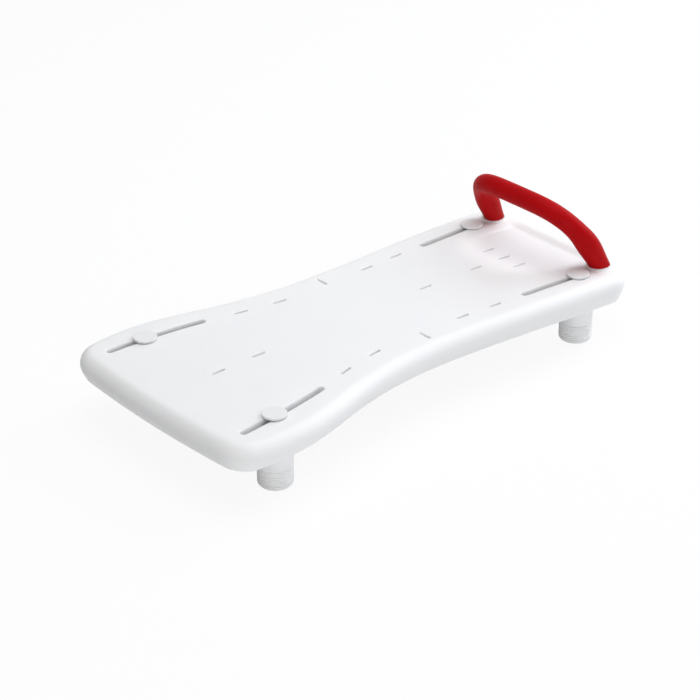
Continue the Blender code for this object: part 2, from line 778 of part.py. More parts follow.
def make_post(leg):
    bottom = SLEEVE_FLOOR + GAP
    shoulder = SLEEVE_HEIGHT + GAP
    bore_bottom = leg.nut_bottom - BOLT_BELOW_NUT - BOLT_BORE_DEPTH
    core_top = bottom + POST_CORE_DEPTH
    profile = [
        (0, leg.post_top),
        (POST_RADIUS - POST_EDGE, leg.post_top),
        (POST_RADIUS, leg.post_top - POST_EDGE),
        (POST_RADIUS, shoulder),
        (SPIGOT_RADIUS, shoulder),
        (SPIGOT_RADIUS, bottom),
        (POST_CORE_RADIUS, bottom),
        (POST_CORE_RADIUS, core_top),
        (0, core_top),
    ]
    pocket = circle(leg.place, NUT_CORNER_RADIUS + 2 * GAP / math.sqrt(3), 6)
    bore = circle(leg.place, BOLT_RADIUS + GAP, SMALL_ROUND_STEPS)
    post = add_object(f"post_{leg.name}", lambda work: add_turned(work, profile, leg.place, ROUND_STEPS))
    cuts = {
        "nut_pocket": prism(pocket, leg.nut_bottom - GAP, leg.post_top + WALL),
        "bolt_bore": prism(bore, bore_bottom, leg.nut_bottom + GAP),
    }
    for name, maker in cuts.items():
        add_boolean(post, add_object(name, maker, cutter=True), "DIFFERENCE")
    finish(post, white_plastic(), leg.axis)


def make_nut(leg):
    hexagon = circle(leg.place, NUT_CORNER_RADIUS, 6)
    bore = circle(leg.place, BOLT_RADIUS + GAP, SMALL_ROUND_STEPS)
    nut = add_object(f"nut_{leg.name}", prism(hexagon, leg.nut_bottom, leg.nut_top))
    hole = add_object("nut_hole", prism(bore, leg.nut_bottom - WALL, leg.nut_top + WALL), cutter=True)
    add_boolean(nut, hole, "DIFFERENCE")
    finish(nut, zinc(), leg.axis)


def make_sleeve(leg):
    """Ribbed rubber cup with a rounded foot."""
    inner = SPIGOT_RADIUS + GAP
    ridge = SLEEVE_RADIUS + SLEEVE_RIB
    profile = [(0, SLEEVE_FLOOR), (inner, SLEEVE_FLOOR), (inner, SLEEVE_HEIGHT), (SLEEVE_RADIUS, SLEEVE_HEIGHT)]
    for rib in range(SLEEVE_RIBS):
        height = SLEEVE_HEIGHT - rib * RIB_PITCH
        profile.append((ridge, height - RIB_PITCH / 2))
        profile.append((SLEEVE_RADIUS, height - RIB_PITCH))
    for turn in np.radians((0, 35, 65, 90)):
        reach = SLEEVE_FOOT_RADIUS + (ridge - SLEEVE_FOOT_RADIUS) * math.cos(turn)
        profile.append((reach, SLEEVE_FOOT_RISE * (1 - math.sin(turn))))
    profile.append((0, 0))
    sleeve = add_object(f"sleeve_{leg.name}", lambda work: add_turned(work, profile, leg.place, ROUND_STEPS))
    finish(sleeve, foot_rubber(), leg.axis)


def make_leg(leg):
    make_post(leg)
    make_nut(leg)
    make_sleeve(leg)


def handle_line():
    """Centres, directions and radii along the handle, evenly spaced from the front foot to the back one."""
    turn = np.linspace(0, math.pi, 400)
    power = 2 / HANDLE_SQUARENESS
    rise = HANDLE_HEIGHT * np.sin(turn) ** power
    rise[[0, -1]] = 0
    y = -(HANDLE_HALF_SPAN - HANDLE_SPLAY * rise) * np.sign(np.cos(turn)) * np.abs(np.cos(turn)) ** power
    pad, _, _ = socket_heights()
    x = HANDLE_X - HANDLE_LEAN * rise - HANDLE_CURL * rise**2
    line = np.stack([x, y, pad + GAP + rise], 1)
    lengths = np.concatenate([[0], np.cumsum(np.linalg.norm(np.diff(line, axis=0), axis=1))])
    along = np.linspace(0, lengths[-1], HANDLE_STEPS + 1)
    centres = np.stack([np.interp(along, lengths, line[:, axis]) for axis in range(3)], 1)
    headings = np.gradient(centres, axis=0)
    headings /= np.linalg.norm(headings, axis=1)[:, None]
    from_foot = np.minimum(along, lengths[-1] - along)
    swell = np.exp(-(((from_foot - SHOULDER_ALONG) / SHOULDER_SPREAD) ** 2))
    return centres, headings, GRIP_RADIUS + SHOULDER_SWELL * swell


def make_handle():
    centres, headings, radii = handle_line()
    pad, floor, _ = socket_heights()

    def tube(work):
        rings = []
        for centre, heading, radius in zip(centres, headings, radii):
            side = np.cross(heading, (1, 0, 0))
            side /= np.linalg.norm(side)
            other = np.cross(side, heading)
            ring = []
            for angle in np.arange(HANDLE_SIDES) * 2 * math.pi / HANDLE_SIDES:
                ring.append(centre + radius * (math.cos(angle) * side + math.sin(angle) * other))
            rings.append(np.array(ring))
        for end in (0, -1):
            drop = (rings[end][:, 2] - centres[end][2]) / headings[end][2]
            rings[end] = rings[end] - drop[:, None] * headings[end]
        for first, second in zip(rings, rings[1:]):
            add_strip(work, first, second)
        for end in (0, -1):
            work.faces.new([work.verts.new(point) for point in rings[end]])

    handle = add_object("handle", tube)
    peg_bottom = floor + GAP
    insert_top = peg_bottom + INSERT_LENGTH
    pegs = add_object(
        "handle_pegs", lambda work: add_columns(work, PEG_RADIUS, peg_bottom, pad + PEG_ROOT), cutter=True
    )
    holes = add_object(
        "insert_holes",
        lambda work: add_columns(work, INSERT_RADIUS + GAP, peg_bottom - WALL, insert_top + GAP),
        cutter=True,
    )
    add_boolean(handle, pegs, "UNION")
    add_boolean(handle, holes, "DIFFERENCE")
    finish(handle, red_plastic())


def make_handle_screws():
    _, floor, floor_under = socket_heights()
    insert_bottom = floor + GAP
    insert_top = insert_bottom + INSERT_LENGTH
    washer_top = floor_under - GAP
    washer_bottom = washer_top - SCREW_WASHER_THICKNESS
    seat = washer_bottom - GAP
    hole = SCREW_RADIUS + GAP
    profile = [
        (0, insert_top - WALL),
        (SCREW_RADIUS, insert_top - WALL),
        (SCREW_RADIUS, seat),
        (SCREW_HEAD_RADIUS, seat),
        (SCREW_HEAD_RADIUS, seat - SCREW_HEAD_HEIGHT / 2),
        (SCREW_HEAD_RADIUS / 2, seat - SCREW_HEAD_HEIGHT),
        (0, seat - SCREW_HEAD_HEIGHT),
    ]
    for side, sign in SIDES.items():
        place = (HANDLE_X, sign * HANDLE_HALF_SPAN)
        make_ring(f"handle_insert_{side}", place, hole, INSERT_RADIUS, insert_bottom, insert_top, brass())
        make_ring(f"handle_washer_{side}", place, hole, SCREW_WASHER_RADIUS, washer_bottom, washer_top, steel())
        screw = add_object(
            f"handle_screw_{side}", lambda work: add_turned(work, profile, place, SMALL_ROUND_STEPS)
        )
        finish(screw, steel())


def main():
    clear_scene()
    make_board()
    make_handle()
    make_handle_screws()
    for leg in LEGS:
        make_clamp(leg)
        make_leg(leg)


main()
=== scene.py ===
"""The bath board, dressed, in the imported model's frame.

Lengths are metres. The floor is Z = 0, X runs along the board and the front side is at negative Y.
"""
import math

import bmesh
import bpy
import numpy as np
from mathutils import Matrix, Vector


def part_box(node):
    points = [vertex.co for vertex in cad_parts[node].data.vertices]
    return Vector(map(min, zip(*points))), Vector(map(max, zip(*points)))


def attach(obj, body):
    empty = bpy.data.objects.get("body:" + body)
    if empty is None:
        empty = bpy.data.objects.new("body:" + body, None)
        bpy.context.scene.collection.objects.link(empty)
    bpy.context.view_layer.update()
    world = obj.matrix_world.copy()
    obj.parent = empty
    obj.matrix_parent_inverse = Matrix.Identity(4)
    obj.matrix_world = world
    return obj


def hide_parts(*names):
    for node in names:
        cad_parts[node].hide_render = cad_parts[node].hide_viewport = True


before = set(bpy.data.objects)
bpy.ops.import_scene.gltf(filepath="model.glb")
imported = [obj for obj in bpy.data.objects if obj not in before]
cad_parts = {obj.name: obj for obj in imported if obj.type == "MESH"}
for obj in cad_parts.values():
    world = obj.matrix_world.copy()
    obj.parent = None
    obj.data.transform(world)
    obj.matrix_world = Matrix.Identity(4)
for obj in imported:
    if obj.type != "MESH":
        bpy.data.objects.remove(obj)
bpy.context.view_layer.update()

# Camera, fitted to the photograph
CAMERA_PLACE = (-1.704, -1.9254, 1.4141)
CAMERA_HEADING = (0.5777, 0.6656, -0.4725)
CAMERA_LENS = 119.66
SENSOR = 36

# Board outline, half widths at distances from the left end, the middle and the right end
BOARD_LENGTH = 0.690
LEFT_END_HALF_WIDTH = 0.1626
SHOULDER_FROM_END = 0.052
SHOULDER_HALF_WIDTH = 0.1690
SEAT_FROM_END = 0.121
SEAT_HALF_WIDTH = 0.1662
NECK_FROM_END = 0.207
NECK_HALF_WIDTH = 0.1441
WAIST_FROM_MIDDLE = -0.052
WAIST_HALF_WIDTH = 0.1286
RISE_FROM_MIDDLE = 0.1207
RISE_HALF_WIDTH = 0.1300
HIP_FROM_END = 0.069
HIP_HALF_WIDTH = 0.1368
RIGHT_END_HALF_WIDTH = 0.1374
LEFT_CORNER_RADIUS = 0.0315
RIGHT_CORNER_RADIUS = 0.0425
LEFT_END_BOW = 0.0075
RIGHT_END_BOW = 0.0073
END_BOW_POWER = 8

# Board section
SEAT_HEIGHT = 0.0940
CROWN = 0.0061
MIDDLE_DEPTH = 0.0363
END_DEPTH_GAIN = 0.0011
DEPTH_LEAN = 0.0030
TOP_EDGE_RADIUS = 0.0155
BOTTOM_EDGE_RADIUS = 0.0050
WALL_DRAFT = 0.0051

# Dish between the handle's feet
DISH_DEPTH = 0.004
DISH_START_FROM_END = 0.120
DISH_FLOOR_FROM_END = 0.0305
DISH_LIP_FROM_END = 0.0178
DISH_HALF_WIDTH = 0.0745
DISH_SIDE_RUN = 0.010

# Slots and channels
SLOT_WIDTH = 0.0085
LEFT_SLOT_INSETS = (0.0370, 0.0402)
RIGHT_SLOT_INSETS = (0.0374, 0.0388)
LEFT_SLOT_BOW = 0.0024
LEFT_SLOT = (0.037, 0.173)
RIGHT_SLOT = (0.058, 0.173)
LEFT_TRAVEL = (0.044, 0.167)
RIGHT_TRAVEL = (0.072, 0.168)
CHANNEL_RADIUS = 0.0228
WEB = 0.008

# Drain slots
DRAIN_LENGTH = 0.021
DRAIN_WIDTH = 0.005
LEFT_DRAIN_INSET = 0.0412
RIGHT_DRAIN_INSET = 0.0378
CROSS_DRAIN_INSET = 0.029
DRAIN_AFTER_SLOT = 0.046
LEFT_DRAIN_PITCH = 0.0545
RIGHT_DRAIN_PITCH = 0.0523
CROSS_DRAIN_FROM_MIDDLE = 0.0038
LEFT_CENTRE_DRAINS_FROM_END = (0.106, 0.167)
RIGHT_CENTRE_DRAINS_FROM_END = (0.1635, 0.2510)
HANDLE_DRAIN_FROM_END = 0.113
HANDLE_DRAIN_SPREAD = 0.029
FILLET = 0.0009
SLOT_MOUTH = (0.0014, 0.0050)
DRAIN_MOUTH = (0.0012, 0.0042)

# Underside
TIE_PLACES = (-0.230, -0.120, -0.010, 0.100, 0.205)
TIE_SPREAD = 0.050
TIE_BASE_RADIUS = 0.015
TIE_TOP_RADIUS = 0.006
SKIN = 0.0035
RAIL_HEIGHT = 0.047
RAIL_WIDTH = 0.030
RAIL_FROM_END = 0.023
LEFT_RAIL_LENGTH = 0.180
RIGHT_RAIL_LENGTH = 0.130
RAIL_EDGE = 0.0015
WEEP_RADIUS = 0.0025
WEEP_FROM_MIDDLE = 0.060
WEEP_TOP_BELOW_SEAT = 0.014

# Handle
HANDLE_FROM_END = 0.0365
HANDLE_HALF_SPAN = 0.0972
HANDLE_HEIGHT = 0.0800
HANDLE_LEAN = 0.50
HANDLE_CURL = 2.3
HANDLE_SQUARENESS = 4.0
HANDLE_SPLAY = 0.128
GRIP_RADIUS = 0.0130
SHOULDER_SWELL = 0.0023
SHOULDER_ALONG = 0.036
SHOULDER_SPREAD = 0.023
FOOT_PAD_RADIUS = 0.0153
FOOT_PAD_RISE = 0.0030
FOOT_PAD_SKIRT = 0.0040
FOOT_PAD_OVERRUN = 1.3
FOOT_PAD_HOLLOW = 1.5
SOCKET_DROP = 0.0278
COUNTERBORE_RADIUS = 0.0071
SCREW_BORE_RADIUS = 0.0033
SCREW_BORE_LENGTH = 0.014

# Post
POST_EDGE = 0.0014
SPIGOT_RADIUS = 0.0182
POST_CORE_RADIUS = 0.0135
POST_CORE_DEPTH = 0.022
BOLT_BORE_RADIUS = 0.0032
BOLT_BORE_DEPTH = 0.010
NUT_CLEARANCE = 0.0006

# Sleeve
SLEEVE_BORE_RADIUS = 0.0185
SLEEVE_FLOOR = 0.003
SLEEVE_LIP = 0.0005
SLEEVE_RIBS = 6
RIB_PITCH = 0.0031
RIB_DEPTH = 0.0014
RIB_BLUNTNESS = 0.6
SLEEVE_FOOT_RADIUS = 0.0155
SLEEVE_FOOT_RISE = 0.0062

# Cap
CAP_EDGE = 0.0007
CAP_UNDERCUT = 0.0008
CAP_POCKET_RADIUS = 0.0084
CAP_POCKET_DEPTH = 0.0017

# Studio. A lamp is its place, size, power and colour
LAMPS = {
    "top": ((0, 0, 2.6), 2.4, 38, (1, 1, 1)),
    "right": ((2.4, -0.3, 1.5), 2.4, 54, (0.90, 0.935, 1)),
    "front": ((-1.3, -2.1, 0.55), 1.6, 18, (1, 1, 1)),
}
SKY_COLOUR = (0.99, 0.995, 1, 1)
SKY_STRENGTH = 0.22
FLOOR_COLOUR = (0.9, 0.9, 0.9, 1)
FLOOR_WHITE_SHARE = 0.91
FLOOR_REACH = 6
FLOOR_DROP = 0.0004

# Mesh density
CORNER_STEPS = 14
PLAIN_STEPS = 53
DISH_STEPS = 23
DISH_SIDE_SHARES = (0.45, 0.58)
COLUMN_STEPS = (5, 11, 6)
EDGE_STEPS = 8
WALL_STEPS = 6
ROUND_STEPS = 64
FILLET_STEPS = 6
RIM_STEPS = 5
RIB_STEPS = 8
BOW_STEPS = 12
SLOT_END_STEPS = 12
CHANNEL_END_STEPS = 20
DRAIN_END_STEPS = 8
RAIL_EDGE_STEPS = 3
RAIL_CORNER_STEPS = 4
HANDLE_SAMPLES = 2000
HANDLE_STEPS = 110
HANDLE_SIDES = 40
HANDLE_CROWDING = 0.045
CREASE_ANGLE = 38
ROUND_CREASE_ANGLE = 50

# Between touching pieces, and past a surface that a cutter goes through
GAP = 0.0003
CLEAR = 0.004

SIDES = {"front": -1, "back": 1}
HALF_LENGTH = BOARD_LENGTH / 2
HANDLE_X = HALF_LENGTH - HANDLE_FROM_END


def natural_spline(knots, values):
    """A function that runs smoothly through the values at the knots."""
    knots = np.array(knots)
    values = np.array(values)
    span = np.diff(knots)
    count = len(knots)
    system = np.eye(count)
    right = np.zeros(count)
    for i in range(1, count - 1):
        system[i, i - 1 : i + 2] = span[i - 1], 2 * (span[i - 1] + span[i]), span[i]
        after = (values[i + 1] - values[i]) / span[i]
        before = (values[i] - values[i - 1]) / span[i - 1]
        right[i] = 6 * (after - before)
    bend = np.linalg.solve(system, right)

    def value(x):
        i = np.clip(np.searchsorted(knots, x) - 1, 0, count - 2)
        after = np.asarray(x) - knots[i]
        slope = (values[i + 1] - values[i]) / span[i] - span[i] * (2 * bend[i] + bend[i + 1]) / 6
        curve = bend[i] / 2 + after * (bend[i + 1] - bend[i]) / (6 * span[i])
        return values[i] + after * (slope + after * curve)

    return value


half_width = natural_spline(
    (
        -HALF_LENGTH,
        -HALF_LENGTH + SHOULDER_FROM_END,
        -HALF_LENGTH + SEAT_FROM_END,
        -HALF_LENGTH + NECK_FROM_END,
        WAIST_FROM_MIDDLE,
        RISE_FROM_MIDDLE,
        HALF_LENGTH - HIP_FROM_END,
        HALF_LENGTH,
    ),
    (
        LEFT_END_HALF_WIDTH,
        SHOULDER_HALF_WIDTH,
        SEAT_HALF_WIDTH,
        NECK_HALF_WIDTH,
        WAIST_HALF_WIDTH,
        RISE_HALF_WIDTH,
        HIP_HALF_WIDTH,
        RIGHT_END_HALF_WIDTH,
    ),
)


def crown_height(x):
    return SEAT_HEIGHT - CROWN * (x / HALF_LENGTH) ** 2


def underside_height(x):
    share = x / HALF_LENGTH
    return crown_height(x) - MIDDLE_DEPTH - DEPTH_LEAN * share - END_DEPTH_GAIN * abs(share) ** 3


def smooth_step(value):
    value = np.clip(value, 0, 1)
    return value * value * (3 - 2 * value)


def seat_height(x, y):
    """The seat's surface, with the dish between the handle's feet."""
    start = HALF_LENGTH - DISH_START_FROM_END
    floor = HALF_LENGTH - DISH_FLOOR_FROM_END
    lip = HALF_LENGTH - DISH_LIP_FROM_END
    along = smooth_step((x - start) / (floor - start))
    along = along * (1 - smooth_step((x - floor) / (lip - floor)))
    across = smooth_step((DISH_HALF_WIDTH - np.abs(y)) / DISH_SIDE_RUN)
    return crown_height(x) - DISH_DEPTH * along * across


def column_shares():
    """Shares of the half width, closest where the dish's sides stand."""
    stops = (0, *DISH_SIDE_SHARES, 1)
    half = []
    for first, last, steps in zip(stops, stops[1:], COLUMN_STEPS):
        half.extend(np.linspace(first, last, steps + 1)[:-1])
    half = np.array(half + [1.0])
    return np.concatenate([-half[:0:-1], half])


COLUMNS = column_shares()


def outline(inset):
    """The board's outline, moved in by the inset: front side, right end, back side, left end."""
    turn = np.radians(np.linspace(0, 90, CORNER_STEPS + 1))
    left_arc = -HALF_LENGTH + LEFT_CORNER_RADIUS * (1 - np.cos(turn))
    right_arc = HALF_LENGTH - RIGHT_CORNER_RADIUS * (1 - np.cos(turn))[::-1]
    dish_start = HALF_LENGTH - DISH_START_FROM_END
    plain = np.linspace(left_arc[-1], dish_start, PLAIN_STEPS + 1)[1:]
    dished = np.linspace(dish_start, right_arc[0], DISH_STEPS + 1)[1:-1]
    x = np.concatenate([left_arc, plain, dished, right_arc])
    into_left = np.clip(LEFT_CORNER_RADIUS - (x + HALF_LENGTH), 0, LEFT_CORNER_RADIUS)
    into_right = np.clip(RIGHT_CORNER_RADIUS - (HALF_LENGTH - x), 0, RIGHT_CORNER_RADIUS)
    y = half_width(x)
    y = y - LEFT_CORNER_RADIUS + np.sqrt(LEFT_CORNER_RADIUS**2 - into_left**2)
    y = y - RIGHT_CORNER_RADIUS + np.sqrt(RIGHT_CORNER_RADIUS**2 - into_right**2)
    across = COLUMNS[1:-1]
    ring = np.concatenate(
        [
            np.stack([x, -y], 1),
            np.stack([np.full(len(across), x[-1]), across * y[-1]], 1),
            np.stack([x, y], 1)[::-1],
            np.stack([np.full(len(across), x[0]), -across * y[0]], 1),
        ]
    )
    share = ring[:, 0] / HALF_LENGTH
    near_left = np.clip(-share, 0, 1) ** END_BOW_POWER
    near_right = np.clip(share, 0, 1) ** END_BOW_POWER
    left_pull = LEFT_END_BOW * near_left * (ring[:, 1] / LEFT_END_HALF_WIDTH) ** 2
    right_pull = RIGHT_END_BOW * near_right * (ring[:, 1] / RIGHT_END_HALF_WIDTH) ** 2
    ring[:, 0] += left_pull - right_pull
    along = np.roll(ring, -1, 0) - np.roll(ring, 1, 0)
    outward = np.stack([along[:, 1], -along[:, 0]], 1)
    outward /= np.linalg.norm(outward, axis=1)[:, None]
    return ring - outward * inset


def patch(ring):
    """A grid of points that fills the ring, blended from its four sides."""
    columns = len(COLUMNS)
    rows = (len(ring) - 2 * (columns - 2)) // 2
    front = ring[:rows]
    back = ring[rows + columns - 2 : 2 * rows + columns - 2][::-1]
    right = np.concatenate([front[-1:], ring[rows : rows + columns - 2], back[-1:]])
    left = np.concatenate([front[:1], ring[2 * rows + columns - 2 :][::-1], back[:1]])
    across = (COLUMNS[:, None] + 1) / 2
    grid = []
    for row in range(rows):
        along = row / (rows - 1)
        line = front[row] + across * (back[row] - front[row])
        line = line + (1 - along) * (left - left[0] - across * (left[-1] - left[0]))
        line = line + along * (right - right[0] - across * (right[-1] - right[0]))
        grid.append(line)
    return np.array(grid)


def wall_profile():
    """Rings down the board's wall as (inset, share of the way from seat to underside, rise)."""
    rings = []
    for turn in np.radians(np.linspace(0, 90, EDGE_STEPS + 1)):
        inset = TOP_EDGE_RADIUS * (1 - math.sin(turn))
        rings.append((inset, 0.0, TOP_EDGE_RADIUS * (math.cos(turn) - 1)))
    for share in np.linspace(0, 1, WALL_STEPS + 1)[1:-1]:
        rise = share * BOTTOM_EDGE_RADIUS - (1 - share) * TOP_EDGE_RADIUS
        rings.append((WALL_DRAFT * share**2, share, rise))
    for turn in np.radians(np.linspace(0, 90, EDGE_STEPS + 1)):
        inset = WALL_DRAFT + BOTTOM_EDGE_RADIUS * (1 - math.cos(turn))
        rings.append((inset, 1.0, BOTTOM_EDGE_RADIUS * (1 - math.sin(turn))))
    return rings


def add_object(name, mesh_data):
    mesh = bpy.data.meshes.new(name)
    work = bmesh.new()
    mesh_data(work)
    bmesh.ops.remove_doubles(work, verts=work.verts, dist=1e-6)
    bmesh.ops.recalc_face_normals(work, faces=work.faces)
    work.to_mesh(mesh)
    work.free()
    obj = bpy.data.objects.new(name, mesh)
    bpy.context.scene.collection.objects.link(obj)
    return obj


def add_strip(work, first, second):
    """Quads between two closed rings with the same number of points."""
    first = [work.verts.new(point) for point in first]
    second = [work.verts.new(point) for point in second]
    for i in range(len(first)):
        j = (i + 1) % len(first)
        work.faces.new((first[i], first[j], second[j], second[i]))


def add_rings(work, rings):
    """A closed solid through rings of points, with a face over each end."""
    made = [[work.verts.new(point) for point in ring] for ring in rings]
    for first, second in zip(made, made[1:]):
        for i in range(len(first)):
            j = (i + 1) % len(first)
            work.faces.new((first[i], first[j], second[j], second[i]))
    work.faces.new(made[0][::-1])
    work.faces.new(made[-1])


def add_grid(work, grid):
    points = [[work.verts.new(point) for point in row] for row in grid]
    for row, following in zip(points, points[1:]):
        for j in range(len(row) - 1):
            work.faces.new((row[j], row[j + 1], following[j + 1], following[j]))


def add_turned(work, profile, centre, steps=ROUND_STEPS):
    """A solid turned about the vertical through centre. The profile starts and ends on the axis."""
    angles = np.arange(steps) * 2 * math.pi / steps
    rings = []
    for radius, height in profile:
        if radius == 0:
            rings.append([work.verts.new((centre[0], centre[1], height))])
            continue
        ring = []
        for angle in angles:
            x = centre[0] + radius * math.cos(angle)
            y = centre[1] + radius * math.sin(angle)
            ring.append(work.verts.new((x, y, height)))
        rings.append(ring)
    for first, second in zip(rings, rings[1:]):
        for i in range(steps):
            j = (i + 1) % steps
            corners = [first[i % len(first)], first[j % len(first)]]
            corners += [second[j % len(second)], second[i % len(second)]]
            work.faces.new(list(dict.fromkeys(corners)))


def obround(start, end, radius, steps, bow=0.0, bow_steps=BOW_STEPS):
    """A round-ended slot's outline. Its middle line runs from start to end and may bow to the left."""
    start = np.array(start)
    end = np.array(end)
    share = np.linspace(0, 1, bow_steps + 1)[:, None]
    along = (end - start) / np.linalg.norm(end - start)
    left = np.array([-along[1], along[0]])
    line = start + share * (end - start) + 4 * bow * share * (1 - share) * left
    heading = math.atan2(along[1], along[0])
    points = []
    halves = ((end, heading - math.pi / 2, line[::-1]), (start, heading + math.pi / 2, line))
    for centre, first, edge in halves:
        for turn in np.linspace(0, math.pi, steps + 1):
            angle = first + turn
            points.append(centre + radius * np.array([math.cos(angle), math.sin(angle)]))
        outward = np.array([math.cos(first + math.pi), math.sin(first + math.pi)])
        points.extend(edge[1:-1] + radius * outward)
    return np.array(points)


def circle(centre, radius, steps=ROUND_STEPS // 2):
    angles = np.arange(steps) * 2 * math.pi / steps
    return np.array(centre) + radius * np.stack([np.cos(angles), np.sin(angles)], 1)


def lifted(points, height):
    """Points in plan, each given the height or the height that a function has there."""
    if callable(height):
        return np.column_stack([points, [height(x, y) for x, y in points]])
    return np.column_stack([points, np.full(len(points), height)])


def seat_at(drop):
    return lambda x, y: seat_height(x, y) - drop


def underside_at(rise):
    return lambda x, y: underside_height(x) + rise


def slot_plan(start, end, radius, steps, bow=0.0, bow_steps=BOW_STEPS):
    """A slot's outline, as a function of how far it is grown."""
    return lambda grow: obround(start, end, radius + grow, steps, bow, bow_steps)


def round_plan(centre, radius):
    """A round hole's outline, as a function of how far it is grown."""
    return lambda grow: circle(centre, radius + grow)


def hole_rings(plan, low=None, high=None, fillet=FILLET, mouth=(FILLET, FILLET)):
    """Rings of a hole's cutter, from its low end to its high end.

    Where no height is given, the hole's edge is rounded into the surface there. The mouth is how far
    the rounding at the seat reaches sideways and down.
    """
    turns = np.radians(np.linspace(0, 90, FILLET_STEPS + 1))
    rings = []
    if low is None:
        rings.append(lifted(plan(fillet), underside_at(-CLEAR)))
        for turn in turns[::-1]:
            rise = fillet * (1 - math.sin(turn))
            rings.append(lifted(plan(fillet * (1 - math.cos(turn))), underside_at(rise)))
    else:
        rings.append(lifted(plan(0), low))
    if high is None:
        for turn in turns:
            drop = mouth[1] * (1 - math.sin(turn))
            rings.append(lifted(plan(mouth[0] * (1 - math.cos(turn))), seat_at(drop)))
        rings.append(lifted(plan(mouth[0]), seat_at(-CLEAR)))
    else:
        rings.append(lifted(plan(0), high))
    return rings


class Leg:
    """Where one leg's slot and channel run, and where the leg stands."""

    def __init__(self, end, side):
        self.name = f"{end}_{side}"
        sign = SIDES[side]
        if end == "left":
            slot_ends = [place - HALF_LENGTH for place in LEFT_SLOT]
            travel = [place - HALF_LENGTH for place in LEFT_TRAVEL]
            insets = LEFT_SLOT_INSETS
            self.bow = sign * LEFT_SLOT_BOW
        else:
            slot_ends = [HALF_LENGTH - place for place in RIGHT_SLOT][::-1]
            travel = [HALF_LENGTH - place for place in RIGHT_TRAVEL][::-1]
            insets = RIGHT_SLOT_INSETS[::-1]
            self.bow = 0.0
        ends = []
        for x, inset in zip(slot_ends, insets):
            ends.append(np.array([x, sign * (half_width(x) - inset), crown_height(x)]))
        self.run = (ends[1] - ends[0]) / (ends[1][0] - ends[0][0])
        self.start = ends[0]
        along = self.run[:2] / np.linalg.norm(self.run[:2])
        shift = np.array([-along[1], along[0]]) * self.bow / 2
        step = along * SLOT_WIDTH / 2
        self.slot_ends = (ends[0][:2] + step - shift, ends[1][:2] - step - shift)
        self.travel = [self.on_line(x)[:2] for x in travel]
        low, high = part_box(f"cap_{self.name}")
        self.place = ((low[0] + high[0]) / 2, (low[1] + high[1]) / 2)

    def on_line(self, x):
        return self.start + (x - self.start[0]) * self.run

    def ceiling(self, x, y):
        return self.on_line(x)[2] - WEB

    def below_ceiling(self, x, y):
        return self.ceiling(x, y) - WEB


LEGS = [Leg(end, side) for end in ("left", "right") for side in SIDES]


def drains():
    """Centre and heading of each drain slot."""
    found = [((place - HALF_LENGTH, 0.0), 0.0) for place in LEFT_CENTRE_DRAINS_FROM_END]
    found += [((HALF_LENGTH - place, 0.0), 0.0) for place in RIGHT_CENTRE_DRAINS_FROM_END]
    near_handle = HALF_LENGTH - HANDLE_DRAIN_FROM_END
    found += [((near_handle, y), 0.0) for y in (-HANDLE_DRAIN_SPREAD, 0.0, HANDLE_DRAIN_SPREAD)]
    left = LEFT_SLOT[1] + DRAIN_AFTER_SLOT - HALF_LENGTH
    right = HALF_LENGTH - RIGHT_SLOT[1] - DRAIN_AFTER_SLOT
    cross_y = half_width(CROSS_DRAIN_FROM_MIDDLE) - CROSS_DRAIN_INSET
    rows = [(x, LEFT_DRAIN_INSET) for x in (left, left + LEFT_DRAIN_PITCH)]
    rows += [(x, RIGHT_DRAIN_INSET) for x in (right - RIGHT_DRAIN_PITCH, right)]
    for sign in SIDES.values():
        for x, inset in rows:
            rise = half_width(x + DRAIN_LENGTH / 2) - half_width(x - DRAIN_LENGTH / 2)
            heading = math.atan2(sign * rise, DRAIN_LENGTH)
            found.append(((x, sign * (half_width(x) - inset)), heading))
        found.append(((CROSS_DRAIN_FROM_MIDDLE, sign * cross_y), math.pi / 2))
    return found


def board_form(work):
    rings = []
    for inset, share, rise in wall_profile():
        ring = outline(inset)
        seat = crown_height(ring[:, 0])
        drop = share * (seat - underside_height(ring[:, 0]))
        rings.append(np.column_stack([ring, seat - drop + rise]))
    for first, second in zip(rings, rings[1:]):
        add_strip(work, first, second)
    seat = patch(outline(TOP_EDGE_RADIUS))
    add_grid(work, np.dstack([seat, seat_height(seat[..., 0], seat[..., 1])]))
    base = patch(outline(WALL_DRAFT + BOTTOM_EDGE_RADIUS))
    add_grid(work, np.dstack([base, underside_height(base[..., 0])]))


def rails(work):
    for sign, length in ((-1, LEFT_RAIL_LENGTH), (1, RIGHT_RAIL_LENGTH)):
        middle = sign * (HALF_LENGTH - RAIL_FROM_END - RAIL_WIDTH / 2)
        rings = []
        for turn in np.radians(np.linspace(90, 0, RAIL_EDGE_STEPS + 1)):
            edge = RAIL_EDGE * (1 - math.cos(turn))
            corner = 2 * RAIL_EDGE - edge
            plan = []
            for end, side in ((1, 1), (-1, 1), (-1, -1), (1, -1)):
                x = middle + end * (RAIL_WIDTH / 2 - edge - corner)
                y = side * (length / 2 - edge - corner)
                first = math.atan2(side, end) - math.pi / 4
                for angle in first + np.linspace(0, math.pi / 2, RAIL_CORNER_STEPS + 1):
                    plan.append((x + corner * math.cos(angle), y + corner * math.sin(angle)))
            rings.append(lifted(plan, RAIL_HEIGHT + RAIL_EDGE * (1 - math.sin(turn))))
        rings.append(lifted(plan, underside_height(middle) + 2 * SKIN))
        add_rings(work, rings)


